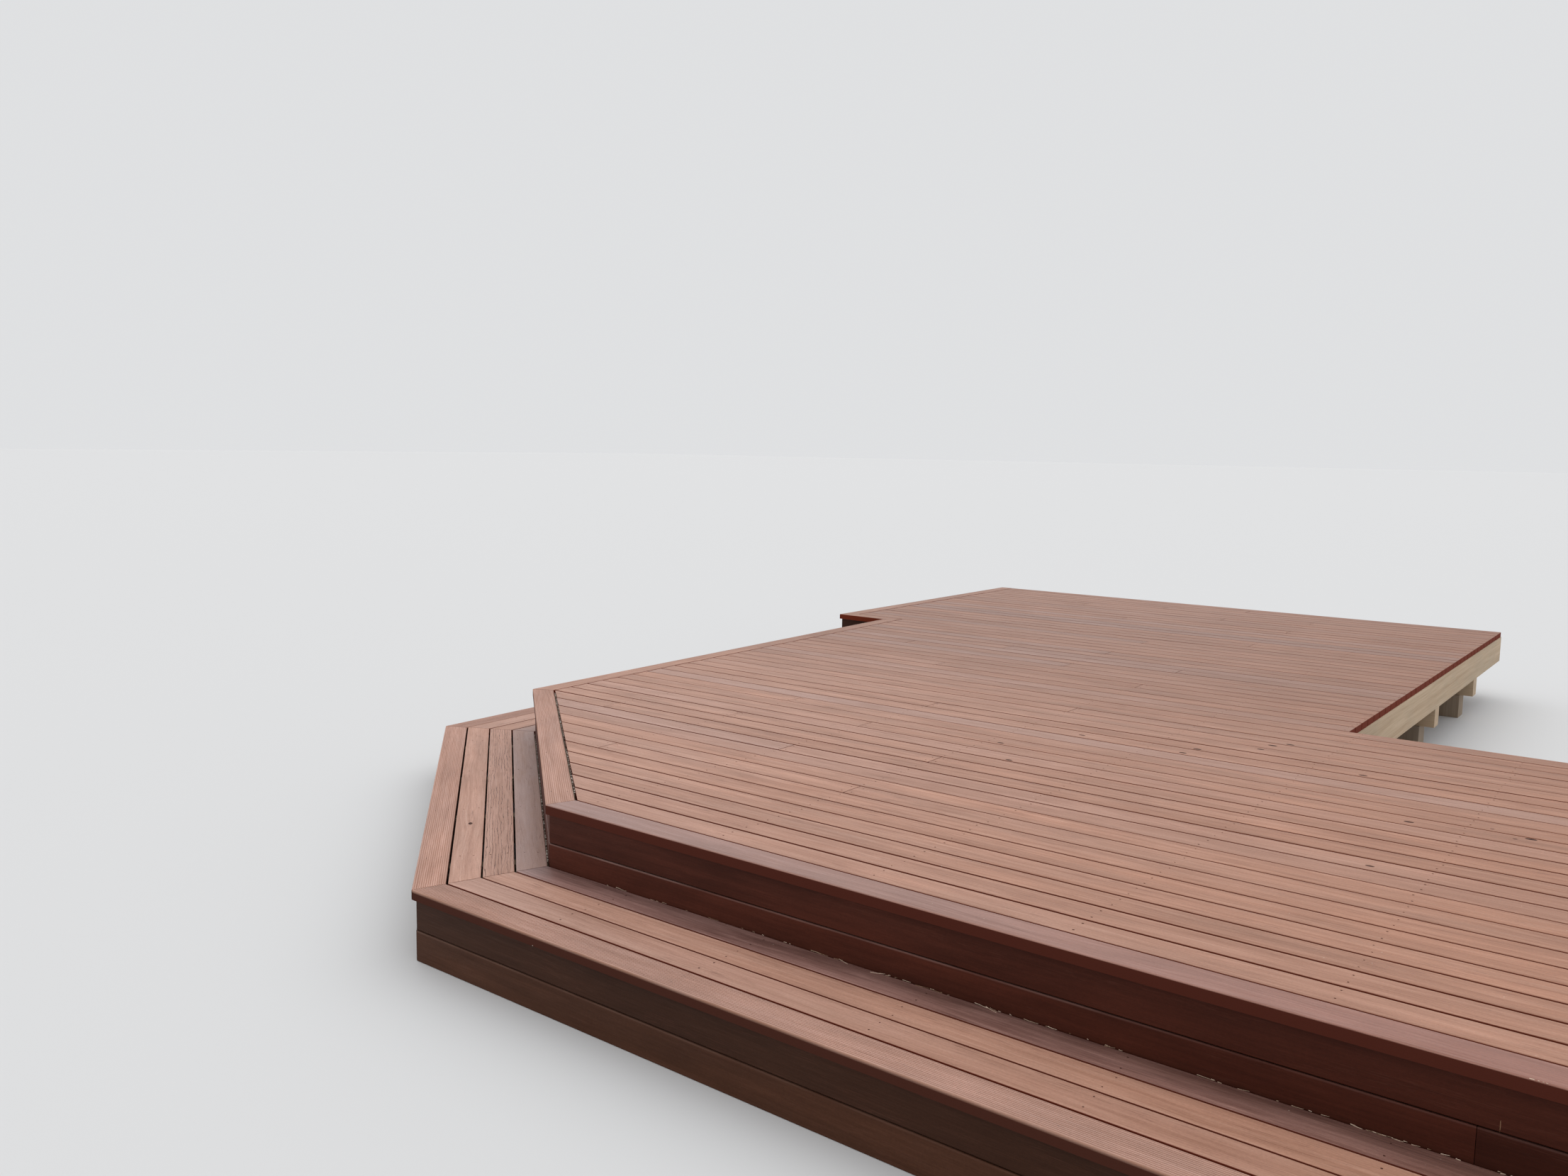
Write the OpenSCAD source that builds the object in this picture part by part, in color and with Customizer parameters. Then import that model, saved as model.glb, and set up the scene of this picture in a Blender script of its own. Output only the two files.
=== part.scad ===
// Wooden deck stairs: a low garden deck whose edge drops to the lawn in two risers.
// One broad step follows the front, the slanted corner and the side of the deck.
// Plan sizes are counted from the deck's front corner, where the front meets the slant.

/* [Deck plan] */
// length of the front edge, from the slanted corner to the plain right end
front_run = 2650; // [2200:10:3200]
// how far the slanted corner reaches to the left
slant_x = 1315; // [1100:5:1500]
// how far the slanted corner reaches towards the house
slant_y = 1086; // [900:1:1200]
// how far the side edge drifts outwards on its way to the house
side_drift = 120; // [0:5:150]
// rows of deck boards in front of the small jog near the house
jog_rows = 40; // [36:1:42]
// width that the jog adds to the deck
jog_w = 315; // [280:5:400]
// rows of deck boards in all, up to the house wall
all_rows = 61; // [57:1:65]
// rows of deck boards in front of the house wing on the right
wing_rows = 25; // [22:1:28]
// left side of that wing
wing_x = 1510; // [1450:10:1700]
// height of the deck's walking surface over the ground
deck_h = 380; // [350:1:420]

/* [Step] */
// height from the step's tread up to the deck
upper_rise = 180; // [165:1:195]
// depth of the step, from its own outer edge to the deck's outer edge
step_w = 357; // [345:1:375]
// width of the reeded outer board of the step
step_nosing_w = 88; // [84:1:92]
// slot left for leaf litter between the tread and the riser
litter_gap = 5; // [3:1:8]

/* [Boards] */
// width of a deck board
board_w = 90; // [84:1:92]
// thickness of every walking board
board_t = 28; // [25:1:32]
// slot between neighbouring boards
board_gap = 5; // [4:1:8]
// slot between the front board and the first full board behind it
front_gap = 4; // [3:1:8]
// width of the smooth board along the front edge
nosing_w = 87; // [84:1:92]
// width of the first full board behind it
second_w = 86; // [82:1:90]
// width of the boards that frame the slant and the sides
border_w = 84; // [80:1:88]
// slot between a frame board and the cut ends of the deck boards
end_slot = 8; // [5:1:10]
// how far an outer board stands over the riser below it
overhang = 10; // [6:1:14]
// open joint where two mitred boards meet
mitre_gap = 3; // [2:1:5]
// open joint where two boards meet end to end
butt_gap = 3; // [2:1:5]

/* [Risers] */
// width of a riser board; the lowest one of each riser is ripped to fit
riser_w = 85; // [70:0.5:95]
// thickness of a riser board
riser_t = 20; // [18:1:25]
// slot between an upper and a lower riser board
riser_gap = 2.5; // [2:0.5:4]
// clear height between the upper riser's foot and the step's back rail
riser_clear = 7.5; // [3:0.5:12]
// end joint in the lower board of the front riser, counted from the right end
riser_joint = 312; // [240:1:400]

/* [Frame] */
// thickness of joists and rails
joist_t = 45; // [40:1:50]
// height of the joists
joist_h = 140; // [130:5:150]
// distance between joists in front of the house, centre to centre
joist_pitch = 470; // [450:5:480]
// distance between joists in front of the wing
wing_pitch = 520; // [500:5:530]
// place of the joist nearest the front corner
first_joist = 95; // [80:5:110]
// place of the front step's cross piece nearest the front corner
front_cross = 330; // [300:5:360]
// height of the rim joists behind the risers
rim_h = 190; // [185:1:200]
// height of the rails and cross pieces in the step
rail_h = 90; // [80:1:95]
// height and thickness of the bearers under the joists
bearer_s = 90; // [80:1:95]
// side of a square pile
pile_s = 125; // [100:5:140]
// distance between the piles of one bearer in the front part
front_pile_pitch = 900; // [800:10:900]
// distance between the piles of one bearer in the part beside the house
house_pile_pitch = 800; // [700:10:860]

/* [Hidden] */

// rows of deck boards behind the front board and the second board
second_y = nosing_w + front_gap;
row_y = second_y + second_w + board_gap;
row_pitch = board_w + board_gap;
jog_y = row_y + jog_rows * row_pitch - board_gap - border_w;
wing_y = row_y + wing_rows * row_pitch - board_gap + butt_gap;
deck_depth = row_y + all_rows * row_pitch - board_gap + butt_gap;
slant_rows = floor((slant_y - row_y) / row_pitch);

// outer edge of the deck seen from above: right end, corner, slant, side, jog, garden bed
edge = [[front_run, 0], [0, 0], [-slant_x, slant_y], [-slant_x - side_drift, jog_y],
        [-slant_x - side_drift - jog_w, jog_y], [-slant_x - side_drift - jog_w, deck_depth]];

// direction of each edge and the direction that points into the deck
function along(i) = (edge[i + 1] - edge[i]) / norm(edge[i + 1] - edge[i]);
function inward(i) = [along(i)[1], -along(i)[0]];
function cross2(a, b) = a[0] * b[1] - a[1] * b[0];

// where the line da inside edge i-1 meets the line db inside edge i
function corner(i, da, db) =
    i == 0 ? edge[0] + db * inward(0) :
    i == 5 ? edge[5] + da * inward(4) :
    edge[i] + (da * along(i) - db * along(i - 1)) / cross2(along(i), along(i - 1));
function inset(i, d) = corner(i, d, d);

// point on the line d inside edge i at the given depth
function at_depth(i, d, y) = inset(i, d) + along(i) * (y - inset(i, d)[1]) / along(i)[1];

// heights, counted down from the walking surface
under_deck = -board_t;
step_top = -upper_rise;
under_step = step_top - board_t;
riser_foot = under_step + riser_clear;
ground = -deck_h;

// distances inwards from the deck's outer edge
riser_back = overhang + riser_t;
rim_back = riser_back + joist_t;
nailer_back = rim_back + joist_t;
field_in = border_w + end_slot;

// distances outwards, in front of the deck's outer edge
step_face = -step_w + overhang;
step_skirt_back = step_face + riser_t;
front_rail_back = step_skirt_back + joist_t;
back_rail_front = riser_back - joist_t;
tread_back = overhang - litter_gap;
tread_front = -step_w + step_nosing_w + board_gap;
tread_w = (tread_back - tread_front - 2 * board_gap) / 3;

// stands for a row of deck boards without a joint
none = 99;

// the step runs along the side until it meets the skirt of the jog
step_end_y = jog_y + overhang - mitre_gap;

// middle of the plan, so that the part stands over the origin
x_min = at_depth(2, -step_w, step_end_y)[0];
mid_x = (front_run + x_min) / 2;
mid_y = (deck_depth - step_w) / 2;

// places of bearers, piles, cleats and cross pieces
front_bearers = [420, 1350, 2250];
house_bearers = [3150, 4150, 5150];
pile_inset = 60;
cleat_inset = 120;
cross_inset = 110;

// colours: worn stained top, dark stained riser, plain framing timber
stain = [0.62, 0.40, 0.32];
reeded = [0.66, 0.44, 0.36];
dark = [0.22, 0.10, 0.07];
pine = [0.72, 0.64, 0.46];

module placed() {
    translate([-mid_x, -mid_y, deck_h]) children();
}

// a length of timber with the given outline seen from above, from height low to high
module slab(points, low, high) {
    translate([0, 0, low]) linear_extrude(height = high - low) polygon(points);
}

// a mitred strip along edge i, between two distances from it
module strip(i, near, far, low, high, cut = 0) {
    a = along(i) * (i == 0 ? cut : mitre_gap / 2);
    b = i == 4 ? [0, 0] : along(i) * mitre_gap / 2;
    slab([inset(i, near) + a, inset(i + 1, near) - b, inset(i + 1, far) - b,
          inset(i, far) + a], low, high);
}

// a strip of the step along the side, stopped at the jog
module side_strip(near, far, low, high) {
    a = along(2) * mitre_gap / 2;
    slab([inset(2, near) + a, at_depth(2, near, step_end_y), at_depth(2, far, step_end_y),
          inset(2, far) + a], low, high);
}

// a cross piece square to edge i, at distance s along it
module cross_piece(i, s, near, far, wide, low, high) {
    p = edge[i] + along(i) * s;
    slab([p + inward(i) * near, p + along(i) * wide + inward(i) * near,
          p + along(i) * wide + inward(i) * far, p + inward(i) * far], low, high);
}

// outline of the deck drawn in: front by f, slant and sides by d, jog by j, walls by w, end by e
function outline(f, d, j, w, e) =
    [[front_run - e, f], corner(1, f, d), inset(2, d), corner(3, d, j), corner(4, j, d),
     [inset(4, d)[0], deck_depth - w], [wing_x - w, deck_depth - w],
     [wing_x - w, wing_y - w], [front_run - e, wing_y - w]];

// one row of deck boards, with one butt joint over a joist where the row has one
module row(y, w, joint) {
    left_x = edge[4][0];
    meet_x = joint == none ? left_x : joist_x(joint);
    intersection() {
        slab(outline(0, field_in, border_w + board_gap, butt_gap, 0), under_deck, 0);
        union() {
            if (joint != none)
                translate([left_x, y, under_deck - 1])
                    cube([meet_x - butt_gap / 2 - left_x, w, board_t + 2]);
            translate([meet_x + butt_gap / 2, y, under_deck - 1])
                cube([front_run - meet_x, w, board_t + 2]);
        }
    }
}

// centre line of joist number j, counted to the right from the one near the front corner
function joist_x(j) = first_joist + min(j, 2) * joist_pitch + max(j - 2, 0) * wing_pitch;

// joist over which each row is joined; the word none where a board runs right through
function joint_of(k) =
    [none, none, none, none, -1, 1, none, none, 0, -2, 1, -1,
     none, 0, none, -1, none, none, 0, none, none, 1, none][k % 23];

module deck_nosing_front() {
    color(stain) placed() strip(0, 0, nosing_w, under_deck, 0);
}

module deck_border_slant() {
    color(reeded) placed() strip(1, 0, border_w, under_deck, 0);
}

module deck_border_side() {
    color(stain) placed() strip(2, 0, border_w, under_deck, 0);
}

module deck_border_jog() {
    color(stain) placed() strip(3, 0, border_w, under_deck, 0);
}

module deck_border_garden() {
    color(stain) placed() strip(4, 0, border_w, under_deck, 0);
}

module deck_boards_front() {
    color(stain) placed() {
        row(second_y, second_w, none);
        for (k = [0:slant_rows]) row(row_y + k * row_pitch, board_w, joint_of(k));
    }
}

module deck_boards_middle() {
    color(stain) placed()
        for (k = [slant_rows + 1:wing_rows - 1])
            row(row_y + k * row_pitch, board_w, joint_of(k));
}

module deck_boards_wing() {
    color(stain) placed()
        for (k = [wing_rows:jog_rows - 1])
            row(row_y + k * row_pitch, board_w, joint_of(k));
}

module deck_boards_house() {
    color(stain) placed()
        for (k = [jog_rows:all_rows - 1])
            row(row_y + k * row_pitch, board_w, joint_of(k));
}

// top of riser board b, and its bottom; the lowest board is ripped to end at the foot
function board_high(b, top) = top - b * (riser_w + riser_gap);
function board_low(b, top, boards, foot) =
    b == boards - 1 ? foot : board_high(b, top) - riser_w;

// riser boards under edge i, one above the other, from the height top down to the foot
module risers(i, near, far, top, boards, foot) {
    for (b = [0:boards - 1])
        strip(i, near, far, board_low(b, top, boards, foot), board_high(b, top), overhang);
}

module riser_front() {
    low_top = board_high(1, under_deck);
    color(dark) placed() difference() {
        risers(0, overhang, riser_back, under_deck, 2, riser_foot);
        translate([front_run - riser_joint, 0, riser_foot - 1])
            cube([butt_gap, riser_back + 1, low_top - riser_foot + 2]);
    }
}

module riser_slant() {
    color(dark) placed() risers(1, overhang, riser_back, under_deck, 2, riser_foot);
}

module riser_side() {
    color(dark) placed() risers(2, overhang, riser_back, under_deck, 2, riser_foot);
}

module skirt_jog() {
    color(dark) placed() risers(3, overhang, riser_back, under_deck, 4, ground);
}

module skirt_garden() {
    color(dark) placed() risers(4, overhang, riser_back, under_deck, 4, ground);
}

// closing boards across the plain right end, from front depth to back depth
module end_boards(front, back, top, boards) {
    for (b = [0:boards - 1]) {
        low = board_low(b, top, boards, ground);
        translate([front_run - riser_back, front, low])
            cube([riser_t, back - front, board_high(b, top) - low]);
    }
}

module skirt_end() {
    color(dark) placed() end_boards(riser_back, wing_y, under_deck, 4);
}

module step_nosing_front() {
    color(reeded) placed() strip(0, -step_w, step_nosing_w - step_w, under_step, step_top);
}

module step_nosing_slant() {
    color(reeded) placed() strip(1, -step_w, step_nosing_w - step_w, under_step, step_top);
}

module step_nosing_side() {
    color(reeded) placed() side_strip(-step_w, step_nosing_w - step_w, under_step, step_top);
}

// near edge of tread board b, counted inwards from the reeded one
function tread_near(b) = tread_front + b * (tread_w + board_gap);

module step_boards_front() {
    color(stain) placed()
        for (b = [0:2])
            strip(0, tread_near(b), tread_near(b) + tread_w, under_step, step_top);
}

module step_boards_slant() {
    color(stain) placed()
        for (b = [0:2])
            strip(1, tread_near(b), tread_near(b) + tread_w, under_step, step_top);
}

module step_boards_side() {
    color(stain) placed()
        for (b = [0:2])
            side_strip(tread_near(b), tread_near(b) + tread_w, under_step, step_top);
}

module step_skirt_front() {
    color(dark) placed() risers(0, step_face, step_skirt_back, under_step, 2, ground);
}

module step_skirt_slant() {
    color(dark) placed() risers(1, step_face, step_skirt_back, under_step, 2, ground);
}

module step_skirt_side() {
    color(dark) placed()
        for (b = [0:1])
            side_strip(step_face, step_skirt_back, board_low(b, under_step, 2, ground),
                       board_high(b, under_step));
}

module step_skirt_end() {
    color(dark) placed() end_boards(step_skirt_back, riser_back, under_step, 2);
}

// rim joist behind the risers, doubled by a nailer that carries the cut board ends
module rim(i, deep) {
    strip(i, riser_back, rim_back, under_deck - rim_h, under_deck, riser_back);
    if (deep) strip(i, rim_back + 0.5, nailer_back, under_deck - joist_h, under_deck);
}

module rim_front() {
    color(pine) placed() rim(0, false);
}

module rim_slant() {
    color(pine) placed() rim(1, true);
}

module rim_side() {
    color(pine) placed() rim(2, true);
}

module rim_jog() {
    color(pine) placed() rim(3, true);
}

module rim_garden() {
    color(pine) placed() rim(4, true);
}

// joists number first to last between two depths, cut to the inside of the rim
module joists(first, last, front, back) {
    intersection() {
        slab(outline(rim_back, nailer_back, nailer_back, joist_t, riser_back),
             under_deck - joist_h, under_deck);
        for (j = [first:last])
            translate([joist_x(j) - joist_t / 2, front, under_deck - joist_h - 1])
                cube([joist_t, back - front, joist_h + 2]);
    }
}

module joists_front() {
    color(pine) placed() {
        joists(-2, 4, 0, wing_y - joist_t);
        translate([front_run - rim_back, rim_back, under_deck - joist_h])
            cube([joist_t, wing_y - joist_t - rim_back, joist_h]);
    }
}

module joists_house() {
    color(pine) placed() {
        joists(-2, 2, wing_y - joist_t, deck_depth - joist_t);
        joists(-3, -3, jog_y + nailer_back, deck_depth - joist_t);
    }
}

module house_ledger() {
    left = inset(4, nailer_back)[0];
    color(pine) placed() translate([left, deck_depth - joist_t, under_deck - joist_h])
        cube([wing_x - joist_t - left, joist_t, joist_h]);
}

module wing_ledger() {
    color(pine) placed() translate([wing_x, wing_y - joist_t, under_deck - joist_h])
        cube([front_run - riser_back - wing_x, joist_t, joist_h]);
}

module wing_side_ledger() {
    low = under_deck - joist_h;
    color(pine) placed() translate([wing_x - joist_t, wing_y - joist_t, low])
        cube([joist_t, deck_depth - wing_y + joist_t, joist_h]);
}

// left and right ends of a bearer at depth y
function left_end(y) =
    y < inset(2, nailer_back)[1] ? at_depth(1, nailer_back, y)[0] :
    y < jog_y + nailer_back ? at_depth(2, nailer_back, y)[0] : inset(4, nailer_back)[0];
function right_end(y) = y < wing_y ? front_run - riser_back : wing_x;

// bearer under the joists, with its front face at depth y
module bearer(y) {
    left = max(left_end(y), left_end(y + bearer_s));
    translate([left, y, under_deck - joist_h - bearer_s])
        cube([right_end(y) - left, bearer_s, bearer_s]);
}

// piles under one bearer, counted from its right end to its left end
module bearer_piles(y, pitch) {
    left = max(left_end(y), left_end(y + bearer_s));
    right = right_end(y) - pile_inset - pile_s;
    for (n = [0:floor((right - left) / pitch)])
        translate([right - n * pitch, y + (bearer_s - pile_s) / 2, ground])
            cube([pile_s, pile_s, deck_h + under_deck - joist_h - bearer_s]);
}

module bearers_front() {
    color(pine) placed() for (y = front_bearers) bearer(y);
}

module bearers_house() {
    color(pine) placed() for (y = house_bearers) bearer(y);
}

module piles_front() {
    color(pine) placed() for (y = front_bearers) bearer_piles(y, front_pile_pitch);
}

module piles_house() {
    color(pine) placed() for (y = house_bearers) bearer_piles(y, house_pile_pitch);
}

// upright cleats that carry the lower skirt boards
module skirt_cleats() {
    garden_run = norm(edge[5] - edge[4]);
    jog_run = norm(edge[4] - edge[3]);
    end_run = wing_y - rim_back - joist_t;
    color(pine) placed() {
        for (s = [jog_run / 3, jog_run * 2 / 3])
            cross_piece(3, s, riser_back, rim_back, joist_t, ground, under_deck - rim_h);
        for (n = [0:3])
            cross_piece(4, cleat_inset + n * (garden_run - 3 * cleat_inset) / 3, riser_back,
                        rim_back, joist_t, ground, under_deck - rim_h);
        for (n = [0:4])
            translate([front_run - rim_back, rim_back + n * (end_run - joist_t) / 4, ground])
                cube([joist_t, joist_t, deck_h + under_deck - joist_h]);
    }
}

// long rails of the step, behind its skirt and in front of the deck's rim
module step_rails_front() {
    low = under_step - rail_h;
    color(pine) placed() {
        strip(0, step_skirt_back, front_rail_back, low, under_step, riser_back);
        strip(0, back_rail_front, riser_back, low, under_step, riser_back);
    }
}

module step_rails_slant() {
    low = under_step - rail_h;
    color(pine) placed() {
        strip(1, step_skirt_back, front_rail_back, low, under_step);
        strip(1, back_rail_front, riser_back, low, under_step);
    }
}

module step_rails_side() {
    low = under_step - rail_h;
    color(pine) placed() {
        side_strip(step_skirt_back, front_rail_back, low, under_step);
        side_strip(back_rail_front, riser_back, low, under_step);
    }
}

// places of the cross pieces in each run of the step; the front ones keep the joists' pitch
function run_length(i) = norm(edge[i + 1] - edge[i]);
function cross_count(i) = floor((run_length(i) - 2 * cross_inset) / joist_pitch);
function front_count() = floor((front_run - front_cross - 2 * cross_inset) / joist_pitch);
function cross_places(i) = i == 0 ?
    concat([cross_inset], [for (n = [0:front_count()])
        front_run - front_cross - n * joist_pitch - joist_t / 2]) :
    [for (n = [0:cross_count(i)])
        cross_inset + n * (run_length(i) - 2 * cross_inset - joist_t) / cross_count(i)];

module step_cross_pieces() {
    color(pine) placed()
        for (i = [0:2])
            for (s = cross_places(i))
                cross_piece(i, s, front_rail_back, back_rail_front, joist_t,
                            under_step - rail_h, under_step);
}

// short feet under both rails
module step_feet() {
    color(pine) placed()
        for (i = [0:2])
            for (s = cross_places(i)) {
                cross_piece(i, s, step_skirt_back, front_rail_back, joist_t, ground,
                            under_step - rail_h);
                cross_piece(i, s, back_rail_front, riser_back, joist_t, ground,
                            under_step - rail_h);
            }
}

deck_nosing_front();
deck_border_slant();
deck_border_side();
deck_border_jog();
deck_border_garden();
deck_boards_front();
deck_boards_middle();
deck_boards_wing();
deck_boards_house();
riser_front();
riser_slant();
riser_side();
skirt_jog();
skirt_garden();
skirt_end();
step_nosing_front();
step_nosing_slant();
step_nosing_side();
step_boards_front();
step_boards_slant();
step_boards_side();
step_skirt_front();
step_skirt_slant();
step_skirt_side();
step_skirt_end();
rim_front();
rim_slant();
rim_side();
rim_jog();
rim_garden();
joists_front();
joists_house();
house_ledger();
wing_ledger();
wing_side_ledger();
bearers_front();
bearers_house();
piles_front();
piles_house();
skirt_cleats();
step_rails_front();
step_rails_slant();
step_rails_side();
step_cross_pieces();
step_feet();
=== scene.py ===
# %% [markdown]
# # Wooden deck stairs
# A low garden deck of red-brown stained boards, with one broad step that wraps its front,
# a slanted corner and its side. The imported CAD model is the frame: every board, joist and
# pile already has its place there. Here each walking board is worked into a real board,
# with eased edges, grooves and sunk screws, and every surface gets its stain and wear.

# %% load the frame
import math
import random

import bmesh
import bpy
from mathutils import Matrix, Vector


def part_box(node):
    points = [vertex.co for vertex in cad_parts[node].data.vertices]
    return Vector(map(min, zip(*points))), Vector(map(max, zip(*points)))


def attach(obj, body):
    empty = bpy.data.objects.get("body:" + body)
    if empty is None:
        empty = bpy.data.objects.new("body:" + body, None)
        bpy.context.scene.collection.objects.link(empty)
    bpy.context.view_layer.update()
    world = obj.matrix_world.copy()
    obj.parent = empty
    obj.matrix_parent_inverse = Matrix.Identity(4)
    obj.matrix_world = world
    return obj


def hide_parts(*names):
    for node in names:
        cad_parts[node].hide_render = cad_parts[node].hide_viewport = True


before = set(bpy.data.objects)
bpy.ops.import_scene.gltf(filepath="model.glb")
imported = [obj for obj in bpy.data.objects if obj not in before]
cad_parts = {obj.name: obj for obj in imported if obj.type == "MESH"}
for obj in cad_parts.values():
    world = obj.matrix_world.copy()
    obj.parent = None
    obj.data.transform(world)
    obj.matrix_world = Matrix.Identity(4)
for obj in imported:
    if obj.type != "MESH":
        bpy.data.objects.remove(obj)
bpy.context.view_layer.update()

# %% [markdown]
# The deck was laid out from its front corner, where the straight front meets the slant.
# Sizes read off the real deck are easiest to use from that point, so it is found once from
# the front board's own box, and all later places are given in metres from it.

# %% the front corner on the deck's surface
HALF_MITRE_GAP = 0.0015
front_low, front_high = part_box("deck_nosing_front")
CORNER = Vector((front_low.x - HALF_MITRE_GAP, front_low.y, front_high.z))
STEP_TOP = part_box("step_nosing_front")[1].z
print("front corner", CORNER, "step top", STEP_TOP)

# %% [markdown]
# A camera is a position, a direction and a focal length. They were solved from the board
# slots and corners, so they are written as a compass direction, a tilt and a small roll.
# The three axes of the camera are built from them and set as its matrix.

# %% camera
YAW, PITCH, ROLL = (math.radians(a) for a in (127.845, 6.460, -0.879))
STANDPOINT = Vector((2.6284, -2.3006, 1.0131))
ahead = Vector((math.cos(YAW) * math.cos(PITCH), math.sin(YAW) * math.cos(PITCH),
                -math.sin(PITCH)))
level = Vector((math.sin(YAW), -math.cos(YAW), 0))
below = ahead.cross(level)
right = math.cos(ROLL) * level + math.sin(ROLL) * below
down = -math.sin(ROLL) * level + math.cos(ROLL) * below
view_data = bpy.data.cameras.new("view")
view_data.sensor_fit = "HORIZONTAL"
view_data.sensor_width = 36
view_data.lens = 28.66
view_data.clip_end = 300
view = bpy.data.objects.new("view", view_data)
bpy.context.collection.objects.link(view)
view.matrix_world = Matrix.Translation(CORNER + STANDPOINT) @ Matrix(
    (right, -down, -ahead)).transposed().to_4x4()
bpy.context.scene.camera = view
print("camera at", view.matrix_world.translation)

# %% [markdown]
# Deck boards under a grey sky have soft shading and a weak sheen. An even pale world gives
# most of the light, and a sun with a very wide angle, which has hardly any shadow edge,
# makes tops brighter than sides all over the floor. An area lamp would leave a bright pool.
# The plain view transform keeps the stain's red, which the film-like one would wash out.

# %% studio light
scene = bpy.context.scene
scene.view_settings.view_transform = "Standard"
world = bpy.data.worlds.new("studio")
scene.world = world
world.use_nodes = True
world.node_tree.nodes["Background"].inputs["Color"].default_value = (0.975, 0.985, 1.0, 1)
world.node_tree.nodes["Background"].inputs["Strength"].default_value = 0.76

lamp_data = bpy.data.lights.new("grey_sky", "SUN")
lamp_data.angle = math.radians(110)
lamp_data.energy = 1.0
lamp = bpy.data.objects.new("grey_sky", lamp_data)
bpy.context.collection.objects.link(lamp)
lamp.rotation_euler = Vector((-0.25, 0.35, 1)).to_track_quat("Z", "Y").to_euler()
print("studio light ready")

# %% [markdown]
# The floor is one large pale square. It lies half a millimetre under the piles, because
# two surfaces in one plane would come out blotched in the render.

# %% studio floor
FLOOR_SIZE, FLOOR_DROP = 140, 0.0005
floor_bm = bmesh.new()
bmesh.ops.create_grid(floor_bm, x_segments=1, y_segments=1, size=FLOOR_SIZE)
bmesh.ops.translate(floor_bm, verts=floor_bm.verts, vec=(0, 0, -FLOOR_DROP))
floor_mesh = bpy.data.meshes.new("studio_floor")
floor_bm.to_mesh(floor_mesh)
floor_bm.free()
floor_finish = bpy.data.materials.new("studio_floor")
floor_finish.use_nodes = True
floor_shader = floor_finish.node_tree.nodes["Principled BSDF"]
floor_shader.inputs["Base Color"].default_value = (0.70, 0.70, 0.70, 1)
floor_shader.inputs["Roughness"].default_value = 0.8
floor_mesh.materials.append(floor_finish)
floor = bpy.data.objects.new("studio_floor", floor_mesh)
bpy.context.collection.objects.link(floor)
print("studio floor ready")

# %% [markdown]
# ## Materials
# A material is a small graph of nodes. These helpers keep each graph short enough to read.
# One starts a graph, one adds a node and wires what is handed to it, and the others add the
# kinds of node that every finish needs. A value may be a number or another node's output.


# %% node helpers
def start_material(name):
    material = bpy.data.materials.new(name)
    material.use_nodes = True
    graph = material.node_tree
    return material, graph, graph.nodes["Principled BSDF"]


def join(graph, socket, value):
    if isinstance(value, bpy.types.NodeSocket):
        graph.links.new(value, socket)
    else:
        socket.default_value = value


def add(graph, kind, inputs=None, **settings):
    node = graph.nodes.new(kind)
    for name, value in settings.items():
        setattr(node, name, value)
    for name, value in (inputs or {}).items():
        join(graph, node.inputs[name], value)
    return node


def object_place(graph):
    return add(graph, "ShaderNodeTexCoord").outputs["Object"]


def vector(graph, x=0.0, y=0.0, z=0.0):
    return add(graph, "ShaderNodeCombineXYZ", {"X": x, "Y": y, "Z": z}).outputs[0]


def split(graph, whole):
    return add(graph, "ShaderNodeSeparateXYZ", {"Vector": whole}).outputs


def moved(graph, place, by):
    return add(graph, "ShaderNodeVectorMath", {0: place, 1: by}, operation="ADD").outputs[0]


print("helpers for places ready")

# %% [markdown]
# Noise is stretched by multiplying the place first: the larger the fineness along an axis,
# the shorter its features are there. A spread carries one range of numbers over to another.


# %% numbers, noise and colours
def maths(graph, operation, a, b=0.0, clamp=False):
    return add(graph, "ShaderNodeMath", {0: a, 1: b}, operation=operation,
               use_clamp=clamp).outputs[0]


def times(graph, a, b, clamp=False):
    return maths(graph, "MULTIPLY", a, b, clamp)


def plus(graph, a, b, clamp=False):
    return maths(graph, "ADD", a, b, clamp)


def minus(graph, a, b):
    return maths(graph, "SUBTRACT", a, b)


def noise(graph, place, fineness, detail=3.0, roughness=0.5):
    scaled = add(graph, "ShaderNodeVectorMath", {0: place, 1: fineness},
                 operation="MULTIPLY").outputs[0]
    return add(graph, "ShaderNodeTexNoise", {"Vector": scaled, "Scale": 1.0, "Detail": detail,
               "Roughness": roughness}, noise_dimensions="3D").outputs["Fac"]


def spread(graph, value, low, high, to_low=0.0, to_high=1.0):
    return add(graph, "ShaderNodeMapRange", {"Value": value, "From Min": low,
               "From Max": high, "To Min": to_low, "To Max": to_high}).outputs["Result"]


def blend_colour(graph, amount, first, second, mode="MIX"):
    node = add(graph, "ShaderNodeMix", data_type="RGBA", blend_type=mode)
    for socket, value in ((node.inputs[0], amount), (node.inputs[6], first),
                          (node.inputs[7], second)):
        join(graph, socket, (*value, 1) if isinstance(value, tuple) else value)
    return node.outputs[2]


def bumpy(graph, shader, height, strength, distance):
    bump = add(graph, "ShaderNodeBump", {"Height": height, "Strength": strength,
                                         "Distance": distance})
    graph.links.new(bump.outputs["Normal"], shader.inputs["Normal"])


print("helpers for noise and colours ready")

# %% [markdown]
# ### Grain, cracks and crumbs
# The boards are pine under a worn red-brown stain. Grain is noise stretched along the board.
# The spot on the board comes from an attribute, so grain follows every board at its own
# angle, mitres included. Image textures could give more detail but none are used here.
# Each thing that shows on a board is a short recipe of its own.

# %% what shows on a board
CRACKS_PER_METRE = 110.0


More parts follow.
